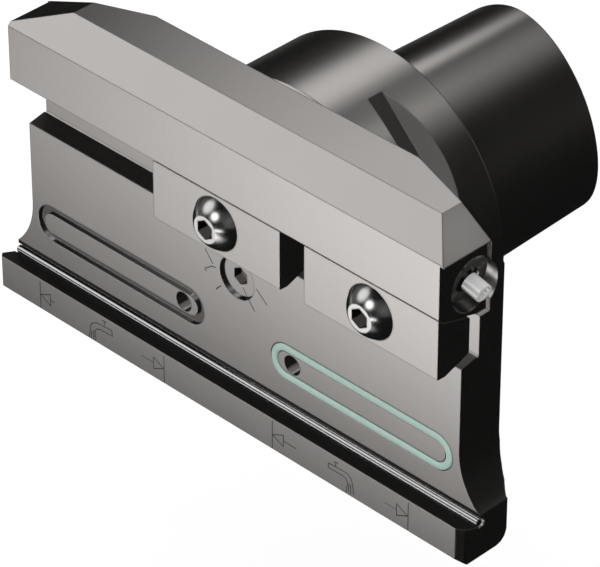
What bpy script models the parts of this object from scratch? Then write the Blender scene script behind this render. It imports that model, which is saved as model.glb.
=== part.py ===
# Tool adapter with a three-lobed taper shank, a gripper collar and a cross block
# that holds a cutting-off blade with two wedge clamps.
# Units are metres. X runs along the cross block, Y back along the shank, Z up.
# The origin is on the shank axis at the rear face of the collar.
import math
import bmesh
import bpy
from mathutils import Matrix, Vector

MM = 0.001

# Driving dimensions, in millimetres
SHANK_D = 44.0            # mean diameter of the lobed taper at the collar face
SHANK_TAPER = 0.05        # diameter lost per millimetre of length
SHANK_E = 1.25            # lobe height of the three-lobed section
SHANK_LEN = 38.0
SHANK_EDGE = 0.9          # chamfer at the shank end
BORE_R = 14.0             # bore that takes the pull segments
BORE_GROOVE_R = 16.3
BORE_END = -6.0
COLLAR_R = 31.5
COLLAR_FRONT = -22.0
COLLAR_EDGE = 0.4
SLOT_FLAT = 28.0          # distance of the gripper slot floor from the axis
SLOT_MID = -11.6
SLOT_FLOOR_W = 3.55
SLOT_TOP_W = 7.6
SLOT_ANGLES = (45.0, -68.0)   # slot directions, from +Z toward +X
NECK_R = 27.0

BLOCK_HALF = 54.85        # half length of the web and the block
END_STEP = 0.9            # how far the bar's front part is relieved at each end
BAR_HALF = BLOCK_HALF - END_STEP
FRONT_Y = -41.65          # front face of the bar, the clamps and the ledge
BACK_Y = -26.5
BAR_TOP = 35.3
BAR_CHAMFER = 5.55
BAR_UNDER = 18.35
WALL_Y = -32.4            # rear wall of the clamp pocket
SEAT_Y = -36.75           # face the blade lies against
SEAT_TOP = 6.0
POCKET_ROOT = 6.9
LIP = 1.05                # depth of the bar's lower lip before the ceiling drops
LIP_STEP = 0.75
WEDGE_SLOPE = 0.3         # slope of the pocket ceiling and the clamp tops
SLOPE_RIGHT = 5.88        # length of the 45 degree slope on the bar's right end
SLOPE_LEFT = 12.75
SLOPE_LEFT_DEG = 22.2
BACK_CUT_RIGHT = 20.35    # where the rear corner planes start, from each end
BACK_CUT_LEFT = 24.15
FOOT_REACH = 5.15         # how far the foot stands out past the web
FOOT_HALF = BLOCK_HALF + FOOT_REACH
FOOT_TOP = -23.55         # front edge of the ledge, which slopes down to the seat
FOOT_BOTTOM = -32.1
FOOT_BACK = -29.5
LEDGE_DEG = 20.0          # slope of the ledge, as a blade's bevelled edge needs
SIDE_R = 14.8             # fillet from the web to the foot ends
SIDE_TOP = -11.7          # where that fillet begins
SEAT_LOW = -22.44         # lower edge of the seat
UNDERCUT = 0.85           # corner groove behind the seat, where the rod lies

ROD_R = 0.72
ROD_Y, ROD_Z = -36.4, -24.7
ROD_INSET = 0.3           # how far the rod's ends lie in from the foot's ends
ROD_X = (ROD_INSET - FOOT_HALF, FOOT_HALF - ROD_INSET)
ROD_GAP = 0.28            # free space round the rod in its groove

CLAMP_W = 32.0
CLAMP_SET = 0.14          # from the bar's end to the right clamp
CLAMP_PITCH = 38.0
CLAMP_RIGHT = BAR_HALF - CLAMP_SET - CLAMP_W / 2
CLAMP_X = (CLAMP_RIGHT - CLAMP_PITCH, CLAMP_RIGHT)
CLAMP_LOW = 5.87
CLAMP_Z = 12.1            # height of the clamp screws
CLAMP_GAP = 0.15          # free space between a clamp and the pocket
CLAMP_BACK_GAP = 1.4
HEAD_R = 5.3
HEAD_PROUD = 2.7
HEAD_FIT = 0.08           # free space round the head in its counterbore
HEAD_SINK = 1.2           # depth of the head's straight part in the clamp
HEAD_SEAT = 0.3           # free space under the head
CROWN_R = 2.75
SCREW_R = 2.5
SCREW_HOLE_R = 2.9
SCREW_LEN = 13.65         # from the clamp's front face to the screw's end
HEX_R = 2.05
HEX_DEPTH = 3.4

OVAL_IN, OVAL_EDGE = 8.6, 1.45  # inner end of a seal groove, outer end from the web's end
OVAL_LEN = BLOCK_HALF - OVAL_EDGE - OVAL_IN
OVAL_X, OVAL_Z = OVAL_IN + OVAL_LEN / 2, -14.2
OVAL_H = 7.9
GROOVE_W = 1.75
GROOVE_DEPTH = 1.1
SEAL_GAP = 0.15           # free space between the seal ring and the groove walls
SEAL_PROUD = 0.3
PORT_X, PORT_R = 14.0, 2.0
PORT_DEPTH = 7.0

SEL_Z = -2.0              # coolant selector screw
SEL_HOLE_R = 4.4
SEL_R = 4.35
SEL_SINK = 0.95
SEL_DEPTH = 7.5
SEL_HEX_R = 1.85

NOZ_Y, NOZ_Z = -33.4, 21.8    # coolant nozzle in the bar's right end
NOZ_HOLE_R = 5.25
NOZ_DEPTH = 9.6
NOZ_TILT = 14.0           # degrees that the nozzle's bore points down
RING_SINK = 1.25          # from the bore's mouth to the ring's face
RING_MOUTH_R = 2.8
RING_GAP = 0.3            # thread space round the ring
BALL_R = 3.4
BALL_GAP = 0.05
BALL_SINK = 3.85          # from the bore's mouth to the ball's centre
TUBE_R, TUBE_BORE_R = 1.78, 1.32
TUBE_LEN = 6.55           # from the ball's centre to the tip

COLLECTION = "tool_adapter"
CUTTERS = "cutters"


# Helpers for objects, materials and cuts

def clear_scene():
    for ob in list(bpy.data.objects):
        bpy.data.objects.remove(ob, do_unlink=True)
    for name in (COLLECTION, CUTTERS):
        col = bpy.data.collections.new(name)
        bpy.context.scene.collection.children.link(col)
    return


def material(name, colour, roughness, metallic):
    mat = bpy.data.materials.new(name)
    mat.use_nodes = True
    bsdf = mat.node_tree.nodes["Principled BSDF"]
    bsdf.inputs["Base Color"].default_value = (*colour, 1.0)
    bsdf.inputs["Roughness"].default_value = roughness
    bsdf.inputs["Metallic"].default_value = metallic
    mat.diffuse_color = (*colour, 1.0)
    return mat


def add_object(name, bm, mat=None, at=(0.0, 0.0, 0.0)):
    """Turn a bmesh in millimetres, given round the point 'at', into an object."""
    bmesh.ops.recalc_face_normals(bm, faces=bm.faces)
    bmesh.ops.transform(bm, matrix=Matrix.Scale(MM, 4), verts=bm.verts)
    mesh = bpy.data.meshes.new(name)
    bm.to_mesh(mesh)
    bm.free()
    mesh.shade_smooth()
    mesh.set_sharp_from_angle(angle=math.radians(30))
    ob = bpy.data.objects.new(name, mesh)
    ob.location = Vector(at) * MM
    if mat is None:
        bpy.data.collections[CUTTERS].objects.link(ob)
        ob.hide_render = True
        ob.display_type = "WIRE"
    else:
        mesh.materials.append(mat)
        bpy.data.collections[COLLECTION].objects.link(ob)
    return ob


def combine(ob, tool, operation="DIFFERENCE"):
    mod = ob.modifiers.new(tool.name, "BOOLEAN")
    mod.operation = operation
    mod.solver = "EXACT"
    mod.object = tool
    return mod


def prism(outline, axis, lo, hi):
    """Straight prism: 'outline' lies across the axis, from 'lo' to 'hi' along it."""
    bm = bmesh.new()
    place = {"X": lambda u, v: (lo, u, v), "Y": lambda u, v: (u, lo, v)}[axis]
    face = bm.faces.new([bm.verts.new(place(u, v)) for u, v in outline])
    run = {"X": Vector((hi - lo, 0, 0)), "Y": Vector((0, hi - lo, 0))}[axis]
    made = bmesh.ops.extrude_face_region(bm, geom=[face])["geom"]
    bmesh.ops.translate(bm, vec=run, verts=[v for v in made if isinstance(v, bmesh.types.BMVert)])
    return bm


def box(lo, hi):
    bm = bmesh.new()
    size = [b - a for a, b in zip(lo, hi)]
    mid = [(a + b) / 2 for a, b in zip(lo, hi)]
    bmesh.ops.create_cube(bm, size=1.0)
    bmesh.ops.transform(bm, matrix=Matrix.Translation(mid) @ Matrix.Diagonal((*size, 1.0)),
                        verts=bm.verts)
    return bm


def cylinder(start, end, radius, segments=32, bm=None, radius2=None):
    """Round bar between two points, added to 'bm' when one is given."""
    bm = bm or bmesh.new()
    a, b = Vector(start), Vector(end)
    run = b - a
    turn = Vector((0, 0, 1)).rotation_difference(run.normalized()).to_matrix().to_4x4()
    bmesh.ops.create_cone(bm, cap_ends=True, segments=segments, radius1=radius,
                          radius2=radius if radius2 is None else radius2,
                          depth=run.length, matrix=Matrix.Translation((a + b) / 2) @ turn)
    return bm


def turned(name, profile, mat, at, axis, segments, tilt=0.0):
    """Turned piece: (radius, position) pairs run from the far end to the near end."""
    mesh = bpy.data.meshes.new(name)
    verts = [(r * MM, 0.0, p * MM) for r, p in profile]
    mesh.from_pydata(verts, [(i, i + 1) for i in range(len(verts) - 1)], [])
    ob = bpy.data.objects.new(name, mesh)
    ob.location = Vector(at) * MM
    ob.rotation_euler = {"+X": (0, math.pi / 2 + math.radians(tilt), 0),
                         "+Y": (-math.pi / 2, 0, 0), "-Y": (math.pi / 2, 0, 0)}[axis]
    spin = ob.modifiers.new("spin", "SCREW")
    spin.steps = segments
    spin.render_steps = segments
    spin.use_merge_vertices = True
    spin.merge_threshold = 0.000001
    if mat is None:
        bpy.data.collections[CUTTERS].objects.link(ob)
        ob.hide_render = True
        ob.display_type = "WIRE"
    else:
        mesh.materials.append(mat)
        bpy.data.collections[COLLECTION].objects.link(ob)
    return ob


def oval_path(half_straight, radius, steps=14):
    """Points and outward normals of a racetrack loop in the XZ plane."""
    path = []
    for side in (1, -1):
        for i in range(steps + 1):
            a = math.pi / 2 - math.pi * i / steps
            nx, nz = side * math.cos(a), side * math.sin(a)
            path.append((side * half_straight + radius * nx, radius * nz, nx, nz))
    return path


def sweep_oval(centre, half_straight, radius, section):
    """Carry a closed (outward, y) section round a racetrack loop."""
    bm = bmesh.new()
    rings = []
    for x, z, nx, nz in oval_path(half_straight, radius):
        rings.append([bm.verts.new((centre[0] + x + nx * u, y, centre[1] + z + nz * u))
                      for u, y in section])
    for i, ring in enumerate(rings):
        after = rings[(i + 1) % len(rings)]
        for j in range(len(ring)):
            k = (j + 1) % len(ring)
            bm.faces.new((ring[j], ring[k], after[k], after[j]))
    return bm


# One-piece body: cross block, web, foot, collar and shank

def ceiling(y):
    """Height of the sloping pocket ceiling at depth y."""
    return BAR_UNDER - LIP_STEP - (y - FRONT_Y - LIP) * WEDGE_SLOPE


def block_section():
    """Side outline (y, z) of the cross block, web, ledge and foot."""
    lip = FRONT_Y + LIP
    groove = SEAT_Y + UNDERCUT
    ledge_low = FOOT_TOP - (groove - FRONT_Y) * math.tan(math.radians(LEDGE_DEG))
    return [
        (FRONT_Y, BAR_UNDER), (FRONT_Y, BAR_TOP - BAR_CHAMFER),
        (FRONT_Y + BAR_CHAMFER, BAR_TOP), (BACK_Y, BAR_TOP), (BACK_Y, -14.5),
        (BACK_Y - 0.8, -18.3), (BACK_Y - 1.6, -20.7), (FOOT_BACK, -22.6),
        (FOOT_BACK, FOOT_BOTTOM + 2.4),
        (FOOT_BACK - 0.5, FOOT_BOTTOM + 1.1), (FOOT_BACK - 1.4, FOOT_BOTTOM + 0.3),
        (FOOT_BACK - 2.6, FOOT_BOTTOM), (FRONT_Y + 2.0, FOOT_BOTTOM),
        (FRONT_Y, FOOT_BOTTOM + 1.75), (FRONT_Y, FOOT_TOP), (groove, ledge_low),
        (groove, SEAT_LOW - 0.6), (SEAT_Y, SEAT_LOW), (SEAT_Y, SEAT_TOP),
        (WALL_Y - 0.5, POCKET_ROOT - 0.1), (WALL_Y - 0.25, POCKET_ROOT - 0.4),
        (WALL_Y, POCKET_ROOT - 0.1), (WALL_Y, ceiling(WALL_Y)), (lip, ceiling(lip))]


def block_front():
    """Front outline (x, z) of the cross block with its flanks and top slopes."""
    top_l, top_r = SLOPE_LEFT - BLOCK_HALF, BLOCK_HALF - SLOPE_RIGHT
    slope_l = BAR_TOP - SLOPE_LEFT * math.tan(math.radians(SLOPE_LEFT_DEG))
    slope_r = BAR_TOP - SLOPE_RIGHT
    turn = math.acos(1 - FOOT_REACH / SIDE_R)
    half = []
    for i in range(17):
        a = turn * i / 16
        half.append((BLOCK_HALF + SIDE_R * (1 - math.cos(a)), SIDE_TOP - SIDE_R * math.sin(a)))
    half.append((FOOT_HALF, FOOT_BOTTOM - 1.0))
    right = [(BLOCK_HALF, slope_r)] + half
    left = [(-x, z) for x, z in reversed(half)] + [(-BLOCK_HALF, slope_l)]
    return right + left + [(top_l, BAR_TOP), (top_l, BAR_TOP + 1.0),
                           (top_r, BAR_TOP + 1.0), (top_r, BAR_TOP)]


def corner_cut(name, a, b, c):
    """Large wedge that removes what lies behind the plane through three points."""
    a, b, c = Vector(a), Vector(b), Vector(c)
    normal = (b - a).cross(c - a).normalized()
    if normal.y < 0:
        normal = -normal
    turn = Vector((0, 0, 1)).rotation_difference(normal).to_matrix().to_4x4()
    bm = bmesh.new()
    bmesh.ops.create_cube(bm, size=1.0)
    bmesh.ops.transform(bm, matrix=Matrix.Translation(b) @ turn @ Matrix.Diagonal((44, 44, 16, 1))
                        @ Matrix.Translation((0, 0, 0.5)), verts=bm.verts)
    return add_object(name, bm)


def lobed_ring(bm, y, shrink=0.0, count=120):
    """Three-lobed taper section at distance y, with lobes at +Z and 120 degrees apart."""
    r = (SHANK_D - SHANK_TAPER * y) / 2 - shrink
    ring = []
    for i in range(count):
        g = 2 * math.pi * i / count
        u = r * math.cos(g) - SHANK_E * math.cos(4 * g) + 2 * SHANK_E * math.cos(2 * g)
        v = r * math.sin(g) - SHANK_E * math.sin(4 * g) - 2 * SHANK_E * math.sin(2 * g)
        ring.append(bm.verts.new((-v, y, u)))
    return ring


def lobed_shank():
    bm = bmesh.new()
    rings = [lobed_ring(bm, -1.0), lobed_ring(bm, SHANK_LEN - SHANK_EDGE),
             lobed_ring(bm, SHANK_LEN, SHANK_EDGE)]
    for a, b in zip(rings, rings[1:]):
        for i in range(len(a)):
            j = (i + 1) % len(a)
            bm.faces.new((a[i], a[j], b[j], b[i]))
    bm.faces.new(rings[0])
    bm.faces.new(list(reversed(rings[-1])))
    return add_object("shank_form", bm)


def gripper_slot(name, angle):
    """Straight V slot with a flat floor, milled across the collar rim."""
    half, top = SLOT_FLOOR_W / 2, SLOT_TOP_W / 2
    rise = COLLAR_R - SLOT_FLAT
    far = half + (top - half) * 1.6
    bm = prism([(SLOT_MID - half, SLOT_FLAT), (SLOT_MID + half, SLOT_FLAT),
                (SLOT_MID + far, SLOT_FLAT + 1.6 * rise), (SLOT_MID - far, SLOT_FLAT + 1.6 * rise)],
               "X", -24.0, 24.0)
    bmesh.ops.rotate(bm, cent=(0, 0, 0), matrix=Matrix.Rotation(math.radians(angle), 3, "Y"),
                     verts=bm.verts)
    return add_object(name, bm)


def adapter_body(mat):
    body = add_object("adapter_body", prism(block_section(), "X", -FOOT_HALF, FOOT_HALF), mat)
    front = prism(block_front(), "Y", FRONT_Y - 2.0, BACK_Y + 2.0)
    combine(body, add_object("front_form", front), "INTERSECT")
    top_r, top_l = BLOCK_HALF - SLOPE_RIGHT, SLOPE_LEFT - BLOCK_HALF
    right = (BACK_Y - 4.77, BACK_Y - 3.43)     # depths of the rear corner planes
    left = (BACK_Y - 4.68, BACK_Y - 4.5)
    combine(body, corner_cut("back_corner_right",
                             (BLOCK_HALF - BACK_CUT_RIGHT, BACK_Y, BAR_TOP),
                             (top_r, right[0], BAR_TOP),
                             (BLOCK_HALF, right[1], BAR_TOP - SLOPE_RIGHT)))
    combine(body, corner_cut("back_corner_left",
                             (BACK_CUT_LEFT - BLOCK_HALF, BACK_Y, BAR_TOP),
                             (top_l, left[0], BAR_TOP),
                             (0.79 - BLOCK_HALF, left[1], BAR_TOP - 4.95)))
    low = ceiling(WALL_Y) - 0.05
    relief = box((BAR_HALF - 0.1, FRONT_Y - 2, low),
                 (BLOCK_HALF + 2, right[1], BAR_TOP - SLOPE_RIGHT))
    combine(body, add_object("end_relief_right", relief))
    relief = box((-BLOCK_HALF - 2, FRONT_Y - 2, low), (-BAR_HALF, left[1], BAR_TOP + 1))
    combine(body, add_object("end_relief_left", relief))
    e = COLLAR_EDGE
    collar = turned("collar_form", [
        (0, 0), (COLLAR_R - e, 0), (COLLAR_R, -e), (COLLAR_R, COLLAR_FRONT + e),
        (COLLAR_R - e, COLLAR_FRONT), (NECK_R, COLLAR_FRONT), (NECK_R, -30.0), (0, -30.0)],
        None, (0, 0, 0), "+Y", 128)
    combine(body, collar, "UNION")
    combine(body, lobed_shank(), "UNION")
    bore = turned("bore_form", [
        (0, SHANK_LEN + 1), (BORE_R + 1.9, SHANK_LEN + 1), (BORE_R, SHANK_LEN - 0.9),
        (BORE_R, 25.0), (BORE_GROOVE_R, 22.6), (BORE_GROOVE_R, 17.0), (BORE_R, 14.7),
        (BORE_R, BORE_END), (8.5, BORE_END - 1.5), (8.5, -17.0), (0, -19.0)],
        None, (0, 0, 0), "+Y", 64)
    combine(body, bore)
    for i, angle in enumerate(SLOT_ANGLES):
        combine(body, gripper_slot("gripper_slot_%d" % i, angle))
    cut_seat_details(body)
    cut_bar_details(body)
    return body


def cut_seat_details(body):
    far = FOOT_HALF + 10
    rod_groove = cylinder((-far, ROD_Y, ROD_Z), (far, ROD_Y, ROD_Z), ROD_R + ROD_GAP, 24)
    combine(body, add_object("rod_groove", rod_groove))
    w = GROOVE_W / 2
    section = [(-w, SEAT_Y - 1), (w, SEAT_Y - 1), (w, SEAT_Y + GROOVE_DEPTH),
               (-w, SEAT_Y + GROOVE_DEPTH)]
    radius = OVAL_H / 2 - w
    for side in (-1, 1):
        ring = sweep_oval((side * OVAL_X, OVAL_Z), (OVAL_LEN - OVAL_H) / 2, radius, section)
        combine(body, add_object("seal_groove_%d" % side, ring))
    ports = bmesh.new()
    for side in (-1, 1):
        cylinder((side * PORT_X, SEAT_Y - 1, OVAL_Z), (side * PORT_X, SEAT_Y + PORT_DEPTH, OVAL_Z),
                 PORT_R, 24, ports)
    combine(body, add_object("port_holes", ports))
    sel = cylinder((0, SEAT_Y - 1, SEL_Z), (0, SEAT_Y + SEL_DEPTH, SEL_Z), SEL_HOLE_R, 40)
    combine(body, add_object("selector_hole", sel))
    for side in (-1, 1):
        lead = cylinder((side * PORT_X, SEAT_Y + 5.2, OVAL_Z), (0, SEAT_Y + 5.2, SEL_Z), 1.1, 16)
        combine(body, add_object("port_lead_%d" % side, lead))
    feed = cylinder((0, -30.5, 0), (0, -15.0, 0), 1.7, 16)
    combine(body, add_object("feed_hole", feed))


def cut_bar_details(body):
    holes = bmesh.new()
    for x, end in zip(CLAMP_X, (BACK_Y + 4.0, BACK_Y + 6.5)):
        cylinder((x, WALL_Y - 1.6, CLAMP_Z), (x, end, CLAMP_Z), SCREW_HOLE_R, 32, holes)
    combine(body, add_object("clamp_screw_holes", holes))
    bore = turned("nozzle_hole", [
        (0, 6), (NOZ_HOLE_R, 6), (NOZ_HOLE_R, -NOZ_DEPTH), (1.8, -NOZ_DEPTH - 2.0),
        (0, -NOZ_DEPTH - 2.0)], None, (BAR_HALF, NOZ_Y, NOZ_Z), "+X", 48, NOZ_TILT)
    combine(body, bore)
    start = on_nozzle_axis(-NOZ_DEPTH - 1.0)
    feed = cylinder(start, (14.0, NOZ_Y, start[2]), 1.9, 20)
    combine(body, add_object("nozzle_feed", feed))
    rise = cylinder((15.5, NOZ_Y + 0.5, start[2]), (3.0, -16.0, 3.0), 1.5, 16)
    combine(body, add_object("nozzle_rise", rise))


# Loose pieces on the blade seat

def support_rod(mat):
    a, b = ROD_X
    return turned("support_rod", [
        (0, b), (ROD_R - 0.1, b), (ROD_R, b - 0.1), (ROD_R, a + 0.1), (ROD_R - 0.1, a),
        (0, a)], mat, (0, ROD_Y, ROD_Z), "+X", 28)


def seal_ring(mat):
    w, top, low = GROOVE_W / 2 - SEAL_GAP, SEAT_Y - SEAL_PROUD, SEAT_Y + GROOVE_DEPTH - 0.3
    section = [(-w, top + 0.3), (-w + 0.22, top + 0.08), (-0.25, top), (0.25, top),
               (w - 0.22, top + 0.08), (w, top + 0.3), (w, low), (-w, low)]
    radius = OVAL_H / 2 - GROOVE_W / 2
    bm = sweep_oval((0, 0), (OVAL_LEN - OVAL_H) / 2, radius, section)
    return add_object("seal_ring", bm, mat, (OVAL_X, 0, OVAL_Z))


def selector_screw(mat):
    front = -(SEAT_Y + SEL_SINK)
    neck = SEL_R - 1.15
    ob = turned("selector_screw", [
        (0, front), (SEL_R - 0.25, front), (SEL_R, front - 0.25), (SEL_R, front - 2.2),
        (neck, front - 2.2), (neck, front - 4.0), (SEL_R, front - 4.0), (SEL_R, front - 4.9),
        (2.4, front - 5.3), (0, front - 5.3)], mat, (0, 0, SEL_Z), "-Y", 40)
    socket = cylinder((0, -front - 1, SEL_Z), (0, -front + 1.9, SEL_Z), SEL_HEX_R, 6)
    combine(ob, add_object("selector_socket", socket))
    return ob


def selector_seal(mat):
    mid = -(SEAT_Y + SEL_SINK) - 3.1
    ring, small = SEL_R - 0.6, 0.4
    profile = []
    for i in range(13):
        a = math.radians(90 - 30 * i)
        profile.append((ring + small * math.cos(a), mid + small * math.sin(a)))
    return turned("selector_seal", profile, mat, (0, 0, SEL_Z), "-Y", 40)


# Wedge clamps with their screws

def clamp_section():
    """Side outline (y, z) of a clamp; its top follows the pocket ceiling."""
    front_top = BAR_UNDER - CLAMP_GAP
    near, back = FRONT_Y + LIP + 0.2, WALL_Y - CLAMP_BACK_GAP
    gap = CLAMP_GAP + 0.25
    low = CLAMP_LOW
    return [(FRONT_Y, low), (FRONT_Y, front_top), (near, ceiling(near) - gap),
            (back - 0.3, ceiling(back - 0.3) - gap),
            (back, ceiling(back) - gap - 0.3), (back, low + 2.03), (back - 0.3, low + 1.68),
            (FRONT_Y + 1.95, low - 0.25), (FRONT_Y + 0.2, low - 0.15)]


def wedge_clamp(name, x, mat):
    half, front = CLAMP_W / 2, -FRONT_Y
    bore = HEAD_R + HEAD_FIT
    ob = add_object(name, prism(clamp_section(), "X", -half, half), mat, (x, 0, 0))
    seat = front - HEAD_SINK - HEAD_SEAT
    hole = turned(name + "_hole", [
        (0, front + 2), (bore, front + 2), (bore, seat),
        (SCREW_HOLE_R, seat - (bore - SCREW_HOLE_R)), (SCREW_HOLE_R, -WALL_Y - 2),
        (0, -WALL_Y - 2)], None, (x, 0, CLAMP_Z), "-Y", 48)
    combine(ob, hole)
    return ob


def clamp_screw(name, x, mat):
    """Domed socket screw: its dome is a zone of one sphere, cut flat at the crown."""
    front = -FRONT_Y
    sink = (HEAD_R ** 2 - CROWN_R ** 2 - HEAD_PROUD ** 2) / (2 * HEAD_PROUD)
    sphere = math.hypot(HEAD_R, sink)
    a0, a1 = math.asin(CROWN_R / sphere), math.asin(HEAD_R / sphere)
    dome = []
    for i in range(10):
        a = a0 + (a1 - a0) * i / 9
        dome.append((sphere * math.sin(a), front + sphere * math.cos(a) - sink))
    crown, seat = front + HEAD_PROUD, front - HEAD_SINK
    end = front - SCREW_LEN
    profile = [(0, crown)] + dome + [
        (HEAD_R, seat), (SCREW_R, seat - (HEAD_R - SCREW_R)), (SCREW_R, end + 0.5),
        (SCREW_R - 0.5, end), (0, end)]
    ob = turned(name, profile, mat, (x, 0, CLAMP_Z), "-Y", 48)
    socket = cylinder((x, -crown - 1, CLAMP_Z), (x, -crown + HEX_DEPTH, CLAMP_Z), HEX_R, 6)
    combine(ob, add_object(name + "_socket", socket))
    return ob


# Coolant nozzle at the right end of the bar

def on_nozzle_axis(depth):
    """Point on the inclined axis of the nozzle's bore, 'depth' out from its mouth."""
    a = math.radians(NOZ_TILT)
    return (BAR_HALF + depth * math.cos(a), NOZ_Y, NOZ_Z - depth * math.sin(a))


def nozzle(mat):
    """Ball with a short thin tube; the origin is the ball's centre."""
    root = math.asin(TUBE_R / BALL_R)
    tail = math.pi - math.asin(TUBE_BORE_R / BALL_R)
    arc = []
    for i in range(15):
        a = root + (tail - root) * i / 14
        arc.append((BALL_R * math.sin(a), BALL_R * math.cos(a)))
    profile = ([(TUBE_BORE_R, TUBE_LEN), (TUBE_R - 0.08, TUBE_LEN), (TUBE_R, TUBE_LEN - 0.08)]
               + arc + [(TUBE_BORE_R, TUBE_LEN)])
    return turned("nozzle", profile, mat, on_nozzle_axis(-BALL_SINK), "+X", 40, NOZ_TILT)


def nozzle_ring(mat):
    """Slotted threaded ring that holds the ball in its bore."""
    out, face = NOZ_HOLE_R - RING_GAP, -RING_SINK
    ball = BALL_R + BALL_GAP
    grip = math.sqrt(ball ** 2 - RING_MOUTH_R ** 2)
    inner = []
    for i in range(6):
        x = 0.2 + (grip - 0.2) * i / 5
        inner.append((math.sqrt(ball ** 2 - x ** 2), x - BALL_SINK))
    profile = [(RING_MOUTH_R, face), (out - 0.3, face), (out, face - 0.3), (out, inner[0][1])]
    profile += inner + [(RING_MOUTH_R, face)]
    at = (BAR_HALF, NOZ_Y, NOZ_Z)
    ob = turned("nozzle_ring", profile, mat, at, "+X", 48, NOZ_TILT)
    slots = bmesh.new()
    for turn in (35, 125):
        part = box((face - 0.9, -out - 2, -0.6), (face + 1, out + 2, 0.6))
        for angle, axis in ((turn, "X"), (NOZ_TILT, "Y")):
            bmesh.ops.rotate(part, cent=(0, 0, 0), verts=part.verts,
                             matrix=Matrix.Rotation(math.radians(angle), 3, axis))
        mesh = bpy.data.meshes.new("slot")
        part.to_mesh(mesh)
        slots.from_mesh(mesh)
        part.free()
        bpy.data.meshes.remove(mesh)
    tool = combine(ob, add_object("nozzle_ring_slots", slots, None, at))
    tool.use_self = True
    return ob


def nozzle_seat(mat):
    """Seal ring behind the ball."""
    back, out = 0.1 - NOZ_DEPTH, NOZ_HOLE_R - RING_GAP
    ball, set_back, bore = BALL_R + BALL_GAP, 0.5 * BALL_R, 0.72 * BALL_R
    near = -BALL_SINK - set_back
    touch = math.sqrt(ball ** 2 - set_back ** 2)
    profile = [(touch, near), (out, near), (out, back), (bore, back),
               (bore, -BALL_SINK - math.sqrt(ball ** 2 - bore ** 2)), (touch, near)]
    return turned("nozzle_seat", profile, mat, (BAR_HALF, NOZ_Y, NOZ_Z), "+X", 40, NOZ_TILT)


def build():
    clear_scene()
    steel = material("satin_gunmetal_steel", (0.25, 0.235, 0.22), 0.42, 0.85)
    clamp_steel = material("satin_clamp_steel", (0.27, 0.255, 0.24), 0.4, 0.85)
    bright = material("polished_steel", (0.78, 0.78, 0.78), 0.16, 1.0)
    screw_steel = material("polished_screw_steel", (0.7, 0.7, 0.7), 0.2, 1.0)
    sel_steel = material("satin_screw_steel", (0.45, 0.43, 0.41), 0.38, 0.9)
    ring_steel = material("bright_ring_steel", (0.6, 0.59, 0.58), 0.25, 1.0)
    mint = material("mint_rubber", (0.5, 0.79, 0.64), 0.6, 0.0)
    rubber = material("dark_rubber", (0.03, 0.03, 0.03), 0.7, 0.0)
    white = material("white_plastic", (0.8, 0.8, 0.78), 0.5, 0.0)
    adapter_body(steel)
    support_rod(bright)
    seal_ring(mint)
    selector_screw(sel_steel)
    selector_seal(rubber)
    for side, x in zip(("left", "right"), CLAMP_X):
        wedge_clamp("clamp_" + side, x, clamp_steel)
        clamp_screw("clamp_screw_" + side, x, screw_steel)
    nozzle(bright)
    nozzle_ring(ring_steel)
    nozzle_seat(white)


build()
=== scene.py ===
import math

import bmesh
import bpy
from mathutils import Matrix, Vector


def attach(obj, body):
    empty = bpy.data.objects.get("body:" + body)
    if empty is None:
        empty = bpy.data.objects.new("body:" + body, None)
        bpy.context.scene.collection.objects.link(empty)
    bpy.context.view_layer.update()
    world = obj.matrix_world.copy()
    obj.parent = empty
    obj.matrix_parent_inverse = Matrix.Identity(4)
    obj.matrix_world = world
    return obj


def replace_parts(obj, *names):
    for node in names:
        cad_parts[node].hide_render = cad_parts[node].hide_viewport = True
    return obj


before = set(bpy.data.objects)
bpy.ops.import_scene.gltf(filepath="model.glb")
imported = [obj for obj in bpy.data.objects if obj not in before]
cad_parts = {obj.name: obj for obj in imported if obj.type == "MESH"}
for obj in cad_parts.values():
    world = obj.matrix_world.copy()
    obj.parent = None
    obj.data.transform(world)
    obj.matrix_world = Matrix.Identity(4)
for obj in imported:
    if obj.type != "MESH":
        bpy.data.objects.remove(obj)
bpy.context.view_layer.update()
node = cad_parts


# Adapter body: shank, collar, bar, web and ledge in one piece of hardened steel, milled and
# ground to a warm grey satin. Its faces keep a fine grain along X, with a few darker handling
# marks, and its edges are broken and rub a little brighter.

def feed(tree, socket, value):
    """Gives a socket a plain value, or links it to another node's output."""
    if isinstance(value, bpy.types.NodeSocket):
        tree.links.new(value, socket)
    else:
        socket.default_value = value


def math_node(tree, operation, a, b, c=None, clamp=False):
    made = tree.nodes.new("ShaderNodeMath")
    made.operation = operation
    made.use_clamp = clamp
    for slot, value in enumerate((a, b, c)):
        if value is not None:
            feed(tree, made.inputs[slot], value)
    return made.outputs[0]


def mix_node(tree, kind, factor, low, high):
    """Blend of two values (kind FLOAT) or of two colours (kind RGBA)."""
    made = tree.nodes.new("ShaderNodeMix")
    made.data_type = kind
    low_slot, high_slot, out_slot = {"FLOAT": (2, 3, 0), "RGBA": (6, 7, 2)}[kind]
    for slot, value in ((0, factor), (low_slot, low), (high_slot, high)):
        feed(tree, made.inputs[slot], value)
    return made.outputs[out_slot]


def noise_node(tree, place, scale, detail, roughness):
    made = tree.nodes.new("ShaderNodeTexNoise")
    tree.links.new(place, made.inputs["Vector"])
    made.inputs["Scale"].default_value = scale
    made.inputs["Detail"].default_value = detail
    made.inputs["Roughness"].default_value = roughness
    return made.outputs["Fac"]


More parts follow.
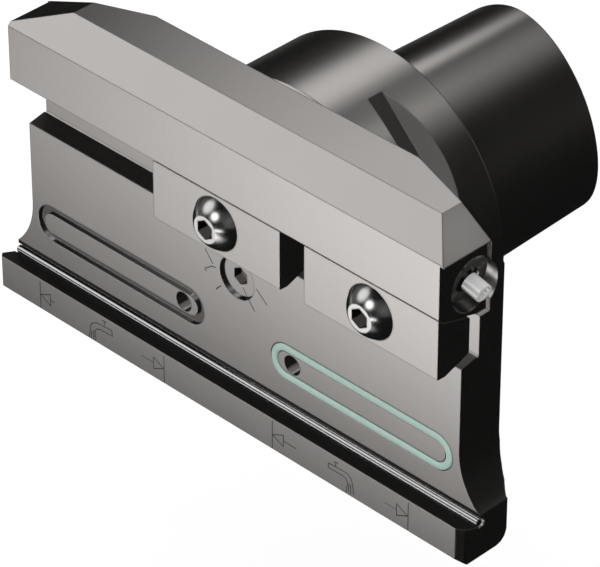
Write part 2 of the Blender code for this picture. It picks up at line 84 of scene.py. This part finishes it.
def ground_steel_group():
    """Grain, cloudy tone and rubbed edges of ground steel, at the object's own scale."""
    tree = bpy.data.node_groups.new("ground steel surface", "ShaderNodeTree")
    face = tree.interface
    for name in ("Grain Height", "Cloud Contrast", "Edge Width", "Roughness",
                 "Roughness Spread"):
        face.new_socket(name=name, in_out="INPUT", socket_type="NodeSocketFloat")
    face.new_socket(name="Colour", in_out="INPUT", socket_type="NodeSocketColor")
    for name, kind in (("Colour", "Color"), ("Roughness", "Float"), ("Height", "Float"),
                       ("Normal", "Vector")):
        face.new_socket(name=name, in_out="OUTPUT", socket_type="NodeSocket" + kind)
    given = tree.nodes.new("NodeGroupInput").outputs
    result = tree.nodes.new("NodeGroupOutput").inputs
    place = tree.nodes.new("ShaderNodeTexCoord").outputs["Object"]
    link = tree.links.new

    grain_per_metre, clouds_per_metre, specks_per_metre = (350, 2600, 2600), 70.0, 900.0
    stretched = tree.nodes.new("ShaderNodeMapping")
    stretched.inputs["Scale"].default_value = grain_per_metre
    link(place, stretched.inputs["Vector"])
    grain = noise_node(tree, stretched.outputs[0], 1.0, 3.0, 0.6)
    cloud = noise_node(tree, place, clouds_per_metre, 4.0, 0.55)
    speck = noise_node(tree, place, specks_per_metre, 2.0, 0.5)
    link(math_node(tree, "MULTIPLY", grain, given["Grain Height"]), result["Height"])

    bevel = tree.nodes.new("ShaderNodeBevel")
    bevel.samples = 4
    link(given["Edge Width"], bevel.inputs["Radius"])
    link(bevel.outputs[0], result["Normal"])
    turned = tree.nodes.new("ShaderNodeVectorMath")
    turned.operation = "DOT_PRODUCT"
    link(bevel.outputs[0], turned.inputs[0])
    link(tree.nodes.new("ShaderNodeNewGeometry").outputs["Normal"], turned.inputs[1])
    edge_gain, patch_gain, patch_start, rub_share = 6.0, 1.2, 0.5, 0.5
    edge = math_node(tree, "MULTIPLY", math_node(
        tree, "SUBTRACT", 1.0, turned.outputs["Value"]), edge_gain, clamp=True)
    patches = math_node(tree, "MULTIPLY_ADD", cloud, patch_gain, patch_start, clamp=True)
    rubbed = math_node(tree, "MULTIPLY", math_node(tree, "MULTIPLY", edge, patches), rub_share)

    speck_share, middle, tone_gain = 0.35, 0.675, 1.5
    mottle = math_node(tree, "ADD", cloud, math_node(tree, "MULTIPLY", speck, speck_share))
    shade = math_node(tree, "MULTIPLY_ADD", math_node(tree, "SUBTRACT", mottle, middle),
                      given["Cloud Contrast"], tone_gain)
    toned = tree.nodes.new("ShaderNodeVectorMath")
    toned.operation = "SCALE"
    link(given["Colour"], toned.inputs[0])
    link(shade, toned.inputs["Scale"])
    link(mix_node(tree, "RGBA", rubbed, toned.outputs[0], (0.72, 0.7, 0.68, 1)),
         result["Colour"])

    spread = math_node(tree, "MULTIPLY", math_node(tree, "SUBTRACT", cloud, 0.5),
                       given["Roughness Spread"])
    link(math_node(tree, "ADD", given["Roughness"], spread, clamp=True), result["Roughness"])
    return tree


def leave_out_of_mirrors(tree, bsdf):
    """Hides a piece from mirror rays: the photographed metal mirrors only its studio."""
    path = tree.nodes.new("ShaderNodeLightPath")
    tree.links.new(math_node(tree, "SUBTRACT", 1.0, path.outputs["Is Glossy Ray"]),
                   bsdf.inputs["Alpha"])


ground_steel = ground_steel_group()


def steel_material(name, colour, roughness, grain=0.5, cloud=0.06, edge=0.0003, spread=0.05,
                   bump=0.08, metallic=1.0):
    mat = bpy.data.materials.new(name)
    mat.use_nodes = True
    tree = mat.node_tree
    bsdf = tree.nodes["Principled BSDF"]
    bsdf.inputs["Metallic"].default_value = metallic
    surface = tree.nodes.new("ShaderNodeGroup")
    surface.node_tree = ground_steel
    for socket, value in (("Colour", (*colour, 1)), ("Roughness", roughness),
                          ("Grain Height", grain), ("Cloud Contrast", cloud),
                          ("Edge Width", edge), ("Roughness Spread", spread)):
        surface.inputs[socket].default_value = value
    relief = tree.nodes.new("ShaderNodeBump")
    relief.inputs["Strength"].default_value = bump
    relief.inputs["Distance"].default_value = 0.00002
    link = tree.links.new
    link(surface.outputs["Colour"], bsdf.inputs["Base Color"])
    link(surface.outputs["Roughness"], bsdf.inputs["Roughness"])
    link(surface.outputs["Height"], relief.inputs["Height"])
    link(surface.outputs["Normal"], relief.inputs["Normal"])
    link(relief.outputs[0], bsdf.inputs["Normal"])
    leave_out_of_mirrors(tree, bsdf)
    return mat


def fine_copy(name, body, mat, corners=0.0, sharp=20.0, moved=(), inner=None):
    """Smoothly shaded copy of a solid, with whole flat faces, that rides in its place.

    'corners' chamfers the front ends' upright edges, 'moved' shifts edges that run along X,
    and 'inner' is a second material with a test of the faces that get it, in millimetres."""
    weld, near, flat_angle = 0.000002, 0.00002, math.radians(0.4)
    bm = bmesh.new()
    bm.from_mesh(node[name].data)
    bmesh.ops.remove_doubles(bm, verts=bm.verts, dist=weld)
    bmesh.ops.dissolve_limit(bm, angle_limit=flat_angle, verts=bm.verts, edges=bm.edges)
    if corners:
        front = min(v.co.y for v in bm.verts)
        reach = max(abs(v.co.x) for v in bm.verts)
        upright = [e for e in bm.edges if abs(e.verts[0].co.x - e.verts[1].co.x) < near
                   and all(abs(v.co.y - front) < near and abs(v.co.x) > reach - near
                           for v in e.verts)]
        bmesh.ops.bevel(bm, geom=upright, offset=corners, segments=1, affect="EDGES",
                        offset_type="OFFSET")
    for (y, z), (new_y, new_z) in moved:
        for v in bm.verts:
            if abs(v.co.y - y) < near and abs(v.co.z - z) < near:
                v.co.y, v.co.z = new_y, new_z
    bmesh.ops.triangulate(bm, faces=[f for f in bm.faces if len(f.verts) > 4])
    bm.verts.index_update()
    mesh = bpy.data.meshes.new(name + "_fine")
    mesh.from_pydata([v.co.copy() for v in bm.verts], [],
                     [[v.index for v in face.verts] for face in bm.faces])
    bm.free()
    mesh.shade_smooth()
    mesh.set_sharp_from_angle(angle=math.radians(sharp))
    mesh.materials.append(mat)
    if inner:
        second, chosen = inner
        mesh.materials.append(second)
        for face in mesh.polygons:
            if chosen(face.center * 1000, face.normal):
                face.material_index = 1
    piece = bpy.data.objects.new(name + "_fine", mesh)
    even = piece.modifiers.new("even_normals", "WEIGHTED_NORMAL")
    even.mode = "FACE_AREA"
    even.weight = 100
    even.keep_sharp = True
    piece.matrix_world = node[name].matrix_world
    bpy.context.scene.collection.objects.link(piece)
    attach(piece, body)
    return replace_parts(piece, name)


def shaded_recess_face(at, way):
    """Floors of the two seal grooves, and the narrow steps beside the nozzle's bore: these get a
    darker steel as painted shade.
    """
    forward, near = -0.9, 0.05
    groove_y, groove_low, groove_top, groove_inner_x = -35.65, -18.3, -10.2, 8.0
    step_y, step_inner_x = -29.93, 53.8
    groove_floor = (abs(at.y - groove_y) < near and groove_low < at.z < groove_top
                    and abs(at.x) > groove_inner_x)
    bore_step = abs(at.y - step_y) < near and at.x > step_inner_x
    return way.y < forward and (groove_floor or bore_step)


steel_colour, satin = (0.56, 0.535, 0.515), 0.3
body_steel = steel_material("satin ground body steel", steel_colour, satin)
# Painted shade: a darker steel on the seal groove floors and the steps by the nozzle's bore,
# where shade falls.
recess_shade_steel = steel_material("steel with painted recess shade", (0.22, 0.205, 0.195), 0.35)
foot_chamfer, facet_angle = 0.0012, 13.5
rod_groove_edge, rod_groove_edge_seen = (-0.0359, -0.02304), (-0.03626, -0.02370)
fine_copy("adapter_body", "adapter", body_steel, corners=foot_chamfer,
          sharp=facet_angle, moved=[(rod_groove_edge, rod_groove_edge_seen)],
          inner=(recess_shade_steel, shaded_recess_face))


# Marks on the body: thin lines cut by laser into the ledge's front and the seat. They show
# the taps and the stops of the coolant selector, in general signs only.

def mark_lines(name, lines, width, face_y, mat, body="adapter"):
    """Thin dark strips on a face that looks forward, from (x, z) points in millimetres."""
    thickness, corner_lap = 0.03, width * 0.6
    bm = bmesh.new()
    for line in lines:
        for (xa, za), (xb, zb) in zip(line, line[1:]):
            run = Vector((xb - xa, 0, zb - za))
            turn = Vector((1, 0, 0)).rotation_difference(run.normalized())
            middle = Matrix.Translation(((xa + xb) / 2, face_y, (za + zb) / 2))
            size = Matrix.Diagonal((run.length + corner_lap, thickness, width, 1))
            bmesh.ops.create_cube(bm, size=1.0, matrix=middle @ turn.to_matrix().to_4x4() @ size)
    bmesh.ops.transform(bm, matrix=Matrix.Scale(0.001, 4), verts=bm.verts)
    mesh = bpy.data.meshes.new(name)
    bm.to_mesh(mesh)
    bm.free()
    mesh.materials.append(mat)
    piece = bpy.data.objects.new(name, mesh)
    bpy.context.scene.collection.objects.link(piece)
    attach(piece, body)
    return piece


mark_steel = steel_material("dark marked steel", (0.07, 0.065, 0.06), 0.45, bump=0.2)
ledge_front, ledge_line = -41.65, 0.18
stop_top, stop_low, arrow_z = -24.1, -30.1, -27.1
arrow_start, arrow_base, arrow_half = 0.1, 2.8, 1.3
stops = []
for line_x, way, reach in ((-48.1, 1, 3.9), (-14.4, -1, 6.0), (13.8, 1, 6.0), (47.6, -1, 5.6)):
    tip, base = line_x + way * arrow_start, line_x + way * arrow_base
    stops += [[(line_x, stop_top), (line_x, stop_low)],
              [(tip, arrow_z), (base, arrow_z + arrow_half), (base, arrow_z - arrow_half),
               (tip, arrow_z)],
              [(base, arrow_z), (line_x + way * reach, arrow_z)]]
left_tap = [
    [(-30.4, -24.4), (-30.4, -25.4)], [(-31.0, -24.5), (-29.8, -24.4)],
    [(-28.3, -26.8), (-28.4, -25.5), (-32.3, -25.8), (-33.1, -26.1), (-34.0, -26.8),
     (-34.3, -27.6), (-34.3, -28.5)],
    [(-28.3, -26.8), (-31.6, -26.9), (-32.6, -27.3), (-33.1, -28.1)],
    [(-34.3, -28.5), (-34.8, -30.2)], [(-33.9, -28.5), (-34.2, -30.1)],
    [(-33.4, -28.1), (-33.5, -30.0)], [(-33.1, -28.1), (-32.9, -29.9)]]
right_tap = [
    [(29.8, -24.8), (29.8, -25.8)], [(29.3, -24.9), (30.4, -24.7)],
    [(27.9, -26.9), (28.0, -25.9), (31.6, -25.7), (32.9, -25.8), (33.7, -26.5), (34.0, -27.6),
     (34.3, -29.6)],
    [(27.9, -26.9), (31.6, -26.8), (32.4, -27.1), (32.8, -27.9), (32.4, -30.1)],
    [(33.1, -27.9), (33.0, -29.8)], [(33.5, -27.8), (33.6, -29.9)]]
mark_lines("ledge_marks", stops + left_tap + right_tap, ledge_line, ledge_front, mark_steel)
seat_front, seat_line = -36.75, 0.2
selector_marks = [
    [(-8.1, 0.5), (-6.2, -1.8)], [(5.0, -1.9), (7.6, -4.0)], [(3.0, -5.2), (4.5, -7.0)],
    [(-8.1, -3.5), (-8.2, -4.1), (-7.8, -4.2)], [(-7.8, -3.6), (-6.6, -2.6), (-5.5, -2.3)],
    [(-5.3, -7.1), (-5.1, -6.7), (-4.5, -6.1), (-4.1, -5.7)]]
mark_lines("selector_marks", selector_marks, seat_line, seat_front, mark_steel)


# Support rod: a thin rod of hardened and polished steel that lies in a groove along the
# ledge and carries the blade's lower edge. It is the brightest line on the part.

fine_copy("support_rod", "adapter", steel_material(
    "polished rod steel", (0.88, 0.88, 0.88), 0.1, grain=0.1, cloud=0.02, spread=0.02, bump=0.02))


# Seal ring: moulded rubber, mint green and matt, pressed into the right-hand seal groove. It
# seals the coolant port inside it against the blade, and stands a little proud of the seat.

def rubber_material(name, colour, roughness):
    mat = bpy.data.materials.new(name)
    mat.use_nodes = True
    tree = mat.node_tree
    bsdf = tree.nodes["Principled BSDF"]
    place = tree.nodes.new("ShaderNodeTexCoord").outputs["Object"]
    fine = noise_node(tree, place, 1800.0, 3.0, 0.6)
    darker = (*[c * 0.9 for c in colour], 1)
    lighter = (*[min(1.0, c * 1.08) for c in colour], 1)
    tree.links.new(mix_node(tree, "RGBA", fine, darker, lighter), bsdf.inputs["Base Color"])
    bsdf.inputs["Roughness"].default_value = roughness
    relief = tree.nodes.new("ShaderNodeBump")
    relief.inputs["Strength"].default_value = 0.2
    relief.inputs["Distance"].default_value = 0.00003
    tree.links.new(fine, relief.inputs["Height"])
    tree.links.new(relief.outputs[0], bsdf.inputs["Normal"])
    leave_out_of_mirrors(tree, bsdf)
    return mat


fine_copy("seal_ring", "adapter",
          rubber_material("mint seal rubber", (0.68, 0.93, 0.81), 0.6))


# Coolant selector: a satin steel screw with a hex socket, sunk in the seat on a dark O-ring.
# Turning it by a quarter sends the coolant to one port or the other, so its own mark turns
# with it.

def selector_socket(at, way):
    """Walls and floor of the selector's hex socket, behind its front face: these get a darker
    steel as painted shade.
    """
    rim_y, floor_y, screw_axis_z, socket_radius = -35.7, -33.0, -2.0, 1.8
    return rim_y < at.y < floor_y and math.hypot(at.x, at.z - screw_axis_z) < socket_radius


# Painted shade: the selector's hex socket gets a darker steel, for the shade inside it.
fine_copy("selector_screw", "selector",
          steel_material("satin selector steel", steel_colour, satin),
          inner=(steel_material("selector socket with painted shade", (0.2, 0.18, 0.17), satin),
                 selector_socket))
selector_front = -35.8
mark_lines("selector_mark", [[(0.6, -4.2), (2.0, -6.1)]], 0.15, selector_front, mark_steel,
           "selector")
fine_copy("selector_seal", "selector",
          rubber_material("dark ring rubber", (0.03, 0.03, 0.03), 0.6))


# Wedge clamps: two bars of hardened steel, ground all over, that wedge the blade down on its
# ledge. Each is drawn in by a polished screw with a domed head and a deep hex socket, whose
# inside gets a darker steel as painted shade.

clamp_steel = steel_material("satin clamp steel", steel_colour, satin)
screw_steel = steel_material("polished screw steel", (0.68, 0.66, 0.65), 0.2, grain=0.2,
                             cloud=0.03, spread=0.03, bump=0.03)
# Painted shade: a darker steel inside each clamp screw's hex socket.
socket_shade_steel = steel_material("socket steel with painted shade", (0.16, 0.14, 0.13), satin)
screw_z, socket_rim, socket_floor, socket_reach = 12.1, -44.3, -40.5, 2.0
for side, screw_x in (("left", -0.19), ("right", 37.81)):
    fine_copy("clamp_" + side, side + "_clamp", clamp_steel)
    fine_copy("clamp_screw_" + side, side + "_clamp_screw", screw_steel, inner=(
        socket_shade_steel, lambda at, way, x=screw_x: socket_rim < at.y < socket_floor
        and math.hypot(at.x - x, at.z - screw_z) < socket_reach))


# Coolant nozzle: a bright tube on a ball that swivels in the bar's right end. A slotted ring
# holds the ball over a white seat, and the ball's faces get a darker steel as painted shade
# for its hollow.

ball_centre, ball_reach, outward = Vector((50.214, -33.4, 22.731)), 3.45, 0.7


def ball_shade_face(at, way):
    """Faces on the ball's own sphere, apart from the tube: these get a darker steel as painted
    shade.
    """
    arm = at - ball_centre
    return arm.length < ball_reach and arm.normalized().dot(way) > outward


nozzle_steel = steel_material("bright nozzle steel", (0.96, 0.96, 0.95), 0.25, grain=0.1,
                              cloud=0.02, spread=0.02, bump=0.02, metallic=0.4)
# Painted shade: the ball's faces get a darker steel, for the shade of its hollow.
fine_copy("nozzle", "nozzle", nozzle_steel, inner=(
    steel_material("ball steel with painted shade", (0.3, 0.29, 0.28), 0.2), ball_shade_face))
fine_copy("nozzle_ring", "adapter",
          steel_material("turned ring steel", (0.34, 0.33, 0.32), 0.25, metallic=0.9))
fine_copy("nozzle_seat", "adapter",
          rubber_material("white seat plastic", (0.8, 0.8, 0.78), 0.5))


# Studio floor: pale, and it keeps the object's shadow. Only the metal's mirror rays see the
# bright pool in front of the object, the weak one behind it and the round spot at the right.

def ramp(tree, value, low, high, start=0.0, end=1.0):
    """Smooth step of a value between two limits."""
    made = tree.nodes.new("ShaderNodeMapRange")
    made.interpolation_type = "SMOOTHSTEP"
    for socket, number in (("From Min", low), ("From Max", high), ("To Min", start),
                           ("To Max", end)):
        made.inputs[socket].default_value = number
    tree.links.new(value, made.inputs["Value"])
    return made.outputs[0]


def product(tree, *factors):
    total = factors[0]
    for factor in factors[1:]:
        total = math_node(tree, "MULTIPLY", total, factor)
    return total


def studio_floor():
    floor_z, half_side, shown_grey, camera_glow, mirror_base = -0.09, 2.5, 0.3, 0.78, 0.006
    mesh = bpy.data.meshes.new("studio_floor")
    bm = bmesh.new()
    bmesh.ops.create_grid(bm, x_segments=1, y_segments=1, size=half_side,
                          matrix=Matrix.Translation((0, 0, floor_z)))
    bm.to_mesh(mesh)
    bm.free()
    floor = bpy.data.objects.new("studio_floor", mesh)
    bpy.context.scene.collection.objects.link(floor)
    mat = bpy.data.materials.new("pale floor")
    mat.use_nodes = True
    mat.cycles.emission_sampling = "NONE"
    tree = mat.node_tree
    bsdf = tree.nodes["Principled BSDF"]
    bsdf.inputs["Roughness"].default_value = 1.0
    bsdf.inputs["Specular IOR Level"].default_value = 0.0
    path = tree.nodes.new("ShaderNodeLightPath")
    glossy = path.outputs["Is Glossy Ray"]
    pale = (shown_grey, shown_grey, shown_grey, 1)
    tree.links.new(mix_node(tree, "RGBA", glossy, pale, (0, 0, 0, 1)), bsdf.inputs["Base Color"])

    place = tree.nodes.new("ShaderNodeNewGeometry").outputs["Position"]
    split = tree.nodes.new("ShaderNodeSeparateXYZ")
    tree.links.new(place, split.inputs[0])
    x, y = split.outputs["X"], split.outputs["Y"]
    pool_near, pool_full, pool_fading, pool_far, pool_glow = -0.078, -0.187, -0.22, -0.33, 0.97
    left_end, left_full, left_share, right_share = -0.33, -0.01, 0.25, 1.2
    right_fading, right_end = 0.02, 0.10
    front = product(tree, ramp(tree, y, pool_near, pool_full, 0.0, pool_glow),
                    ramp(tree, y, pool_far, pool_fading),
                    product(tree, ramp(tree, x, left_end, left_full, left_share, right_share),
                            ramp(tree, x, right_end, right_fading)))
    back_near, back_full, back_fading, back_far, back_glow = 0.28, 0.4, 0.5, 0.75, 0.1
    aside = math_node(tree, "SUBTRACT", y, x)
    back = product(tree, ramp(tree, aside, back_near, back_full, 0.0, back_glow),
                   ramp(tree, aside, back_far, back_fading))
    spot_core, spot_edge, spot_glow = 0.08, 0.20, 1.6
    spot = tree.nodes.new("ShaderNodeVectorMath")
    spot.operation = "DISTANCE"
    tree.links.new(place, spot.inputs[0])
    spot.inputs[1].default_value = (0.165, -0.50, floor_z)
    low_spot = ramp(tree, spot.outputs["Value"], spot_edge, spot_core, 0.0, spot_glow)
    pools = math_node(tree, "ADD", math_node(tree, "ADD", front, back),
                      math_node(tree, "ADD", low_spot, mirror_base))
    bsdf.inputs["Emission Color"].default_value = (1, 1, 1, 1)
    tree.links.new(math_node(tree, "MULTIPLY_ADD", path.outputs["Is Camera Ray"], camera_glow,
                             math_node(tree, "MULTIPLY", pools, glossy)),
                   bsdf.inputs["Emission Strength"])
    mesh.materials.append(mat)


studio_floor()


# Studio light: an even pale surround, which the metal mirrors as a dark room with seven soft
# round panels. Two lamps above and behind draw the light bands of shank and collar, and a
# small one lights the slope at the bar's right end.

def studio_light():
    """Panels are given as direction, inner and outer radius in degrees, and strength."""
    room_glow, plain_glow, backdrop = 0.004, 0.85, 1.0
    panels = (((-0.65, -0.48, 0.59), (12, 26), 0.68),
              ((-0.01, -0.85, 0.52), (5, 18), 1.5),
              ((0.6, -0.6, 0.55), (10, 30), 0.04),
              ((0.33, 0.93, -0.12), (10, 24), 0.3),
              ((0.17, 0.58, 0.79), (8, 24), 0.18),
              ((-0.95, -0.3, 0.1), (15, 35), 0.06),
              ((0.95, -0.3, 0.1), (15, 42), 0.06))
    world = bpy.data.worlds.new("studio light")
    bpy.context.scene.world = world
    world.use_nodes = True
    world.cycles.sampling_method = "NONE"
    tree = world.node_tree
    tree.nodes.clear()
    direction = tree.nodes.new("ShaderNodeTexCoord").outputs["Generated"]
    mirrored = room_glow
    for centre, radii, strength in panels:
        dot = tree.nodes.new("ShaderNodeVectorMath")
        dot.operation = "DOT_PRODUCT"
        tree.links.new(direction, dot.inputs[0])
        dot.inputs[1].default_value = Vector(centre).normalized()
        inner, outer = (math.cos(math.radians(angle)) for angle in radii)
        mirrored = math_node(tree, "ADD", mirrored, ramp(
            tree, dot.outputs["Value"], outer, inner, 0.0, strength))
    path = tree.nodes.new("ShaderNodeLightPath")
    level = mix_node(tree, "FLOAT", path.outputs["Is Glossy Ray"], plain_glow, mirrored)
    seen = mix_node(tree, "FLOAT", path.outputs["Is Camera Ray"], level, backdrop)
    surround = tree.nodes.new("ShaderNodeBackground")
    surround.inputs["Color"].default_value = (1, 1, 1, 1)
    tree.links.new(seen, surround.inputs["Strength"])
    out = tree.nodes.new("ShaderNodeOutputWorld")
    tree.links.new(surround.outputs[0], out.inputs["Surface"])


studio_light()


def soft_lamp(name, place, aim, size, power):
    data = bpy.data.lights.new(name, "AREA")
    data.shape = "DISK"
    data.size = size
    data.energy = power
    lamp = bpy.data.objects.new(name, data)
    bpy.context.scene.collection.objects.link(lamp)
    lamp.location = place
    lamp.rotation_euler = (Vector(aim) - Vector(place)).to_track_quat("-Z", "Y").to_euler()
    lamp.visible_camera = False


soft_lamp("top_lamp", (-0.178, 0.207, 0.310), (0, -0.02, 0.03), 0.19, 0.064)
soft_lamp("rear_lamp", (0.100, 0.214, 0.342), (0, -0.01, 0.03), 0.08, 0.0065)
soft_lamp("end_lamp", (0.110, 0.024, 0.090), (0.052, -0.034, 0.032), 0.02, 0.0008)


# Camera: long lens, to the front right of the adapter and above it, at the photograph's
# angle and distance.

def photo_camera():
    place = Vector((0.452354, -0.476021, 0.441916))
    right = Vector((0.709455, 0.704751, -0.000037))
    forward = Vector((-0.575751, 0.579564, -0.576729))
    data = bpy.data.cameras.new("photo_camera")
    data.lens = 257.961
    data.sensor_width = 36.0
    data.sensor_fit = "HORIZONTAL"
    camera = bpy.data.objects.new("photo_camera", data)
    bpy.context.scene.collection.objects.link(camera)
    up = right.cross(forward)
    turn = Matrix((right, up, -forward)).transposed().to_4x4()
    camera.matrix_world = Matrix.Translation(place) @ turn
    bpy.context.scene.camera = camera


photo_camera()
bpy.context.scene.view_settings.view_transform = "Standard"
